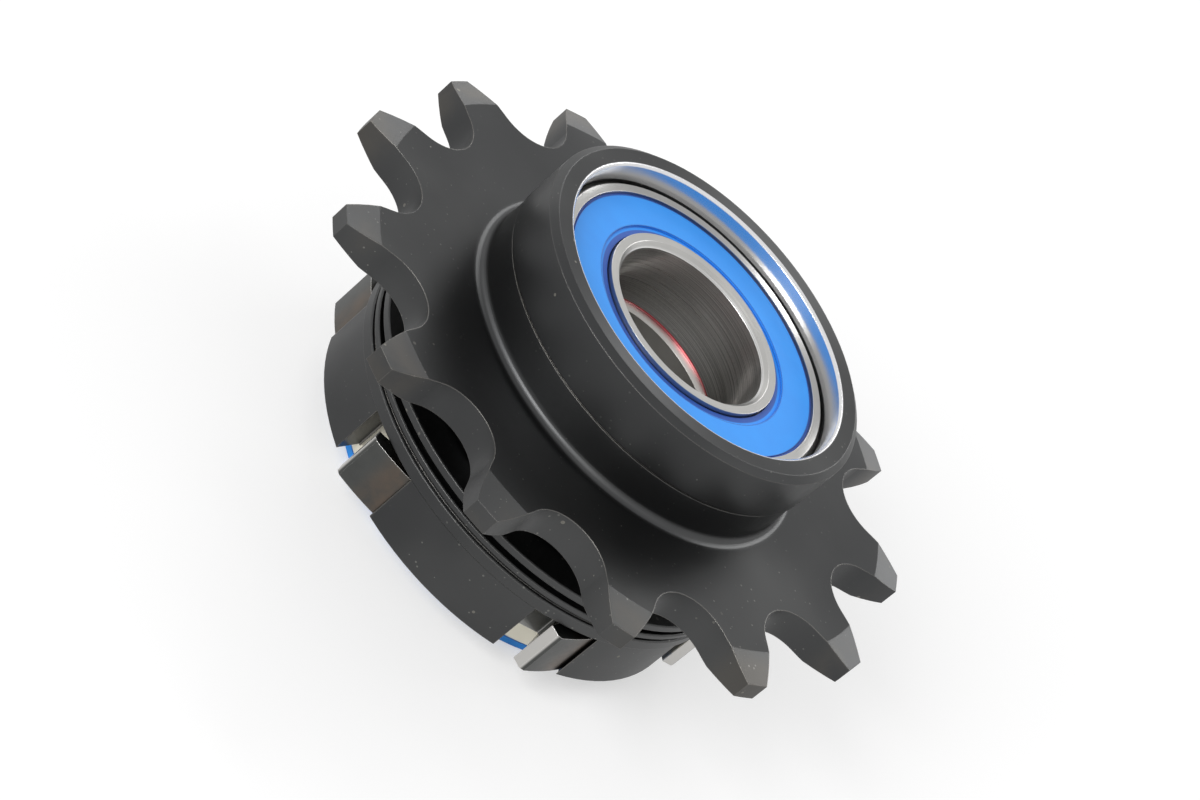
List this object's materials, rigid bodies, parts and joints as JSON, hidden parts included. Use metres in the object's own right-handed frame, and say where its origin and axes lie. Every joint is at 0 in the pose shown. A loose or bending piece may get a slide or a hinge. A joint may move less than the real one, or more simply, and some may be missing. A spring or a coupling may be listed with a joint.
{
  "type": "bicycle hub driver cog",
  "caption": "One-piece steel cog, bearing collar and pawl carrier of a freewheeling bicycle hub, with sealed bearings for a plain axle and sprung pawls.",
  "frame": {"origin": "on the axle's axis, at the inboard end of the inner bearing's inner ring, which the part stands on", "axes": "+Z along the axle towards the collar (outboard); one tooth tip points along -Y; X across the axle"},
  "size_m": [0.058, 0.0576, 0.0271],
  "materials": {
    "black_steel": "black satin conversion coat on steel, worn bare along the edges",
    "bearing_steel": "ground",
    "ball_steel": "polished",
    "cage_plastic": "natural nylon",
    "blue_rubber": "smooth blue rubber over a steel disc",
    "spacer_steel": "turned, with a scratched bore",
    "pawl_steel": "satin, ground bright along the tip",
    "spring_steel": "bright spring steel"
  },
  "bodies": {
    "driver": {"driver_body": "black_steel", "outer_bearing_outer_ring": "bearing_steel", "outer_bearing_outboard_seal": "blue_rubber", "outer_bearing_inboard_seal": "blue_rubber", "inner_bearing_outer_ring": "bearing_steel", "inner_bearing_outboard_seal": "blue_rubber", "inner_bearing_inboard_seal": "blue_rubber", "pawl_spring_1": "spring_steel", "pawl_spring_2": "spring_steel", "pawl_spring_3": "spring_steel", "pawl_spring_4": "spring_steel", "pawl_spring_5": "spring_steel", "pawl_spring_6": "spring_steel"},
    "axle_side": {"outer_bearing_inner_ring": "bearing_steel", "bearing_spacer": "spacer_steel", "inner_bearing_inner_ring": "bearing_steel"},
    "outer_ball_row": {"outer_bearing_balls": "ball_steel", "outer_bearing_cage": "cage_plastic"},
    "inner_ball_row": {"inner_bearing_balls": "ball_steel", "inner_bearing_cage": "cage_plastic"},
    "pawl_1_body": {"pawl_1": "pawl_steel"},
    "pawl_2_body": {"pawl_2": "pawl_steel"},
    "pawl_3_body": {"pawl_3": "pawl_steel"},
    "pawl_4_body": {"pawl_4": "pawl_steel"},
    "pawl_5_body": {"pawl_5": "pawl_steel"},
    "pawl_6_body": {"pawl_6": "pawl_steel"}
  },
  "joints": [
    {"name": "axle_turn", "type": "hinge", "parent": "driver", "child": "axle_side", "pos_m": [0, 0, 0.01], "axis": [0, 0, 1], "continuous": true},
    {"name": "outer_ball_row_turn", "type": "hinge", "parent": "driver", "child": "outer_ball_row", "pos_m": [0, 0, 0.0218], "axis": [0, 0, 1], "continuous": true},
    {"name": "inner_ball_row_turn", "type": "hinge", "parent": "driver", "child": "inner_ball_row", "pos_m": [0, 0, 0.00535], "axis": [0, 0, 1], "continuous": true},
    {"name": "pawl_1_press", "type": "hinge", "parent": "driver", "child": "pawl_1_body", "pos_m": [0.01739, 0.00357, 0.0047], "axis": [0, 0, -1], "range_deg": [0, 24], "stiffness_Nm_per_rad": 0.004, "springref_deg": -20.05, "deforming": ["pawl_spring_1"]},
    {"name": "pawl_2_press", "type": "hinge", "parent": "driver", "child": "pawl_2_body", "pos_m": [0.00471, 0.01711, 0.0047], "axis": [0, 0, -1], "range_deg": [0, 24], "stiffness_Nm_per_rad": 0.004, "springref_deg": -20.05, "deforming": ["pawl_spring_2"]},
    {"name": "pawl_3_press", "type": "hinge", "parent": "driver", "child": "pawl_3_body", "pos_m": [-0.01178, 0.01327, 0.0047], "axis": [0, 0, -1], "range_deg": [0, 24], "stiffness_Nm_per_rad": 0.004, "springref_deg": -20.05, "deforming": ["pawl_spring_3"]},
    {"name": "pawl_4_press", "type": "hinge", "parent": "driver", "child": "pawl_4_body", "pos_m": [-0.01718, -0.00447, 0.0047], "axis": [0, 0, -1], "range_deg": [0, 24], "stiffness_Nm_per_rad": 0.004, "springref_deg": -20.05, "deforming": ["pawl_spring_4"]},
    {"name": "pawl_5_press", "type": "hinge", "parent": "driver", "child": "pawl_5_body", "pos_m": [-0.0056, -0.01684, 0.0047], "axis": [0, 0, -1], "range_deg": [0, 24], "stiffness_Nm_per_rad": 0.004, "springref_deg": -20.05, "deforming": ["pawl_spring_5"]},
    {"name": "pawl_6_press", "type": "hinge", "parent": "driver", "child": "pawl_6_body", "pos_m": [0.01246, -0.01264, 0.0047], "axis": [0, 0, -1], "range_deg": [0, 24], "stiffness_Nm_per_rad": 0.004, "springref_deg": -20.05, "deforming": ["pawl_spring_6"]}
  ],
  "couplings": [
    {"joint": "outer_ball_row_turn", "follows": "axle_turn", "ratio": 0.4186},
    {"joint": "inner_ball_row_turn", "follows": "axle_turn", "ratio": 0.3987}
  ]
}
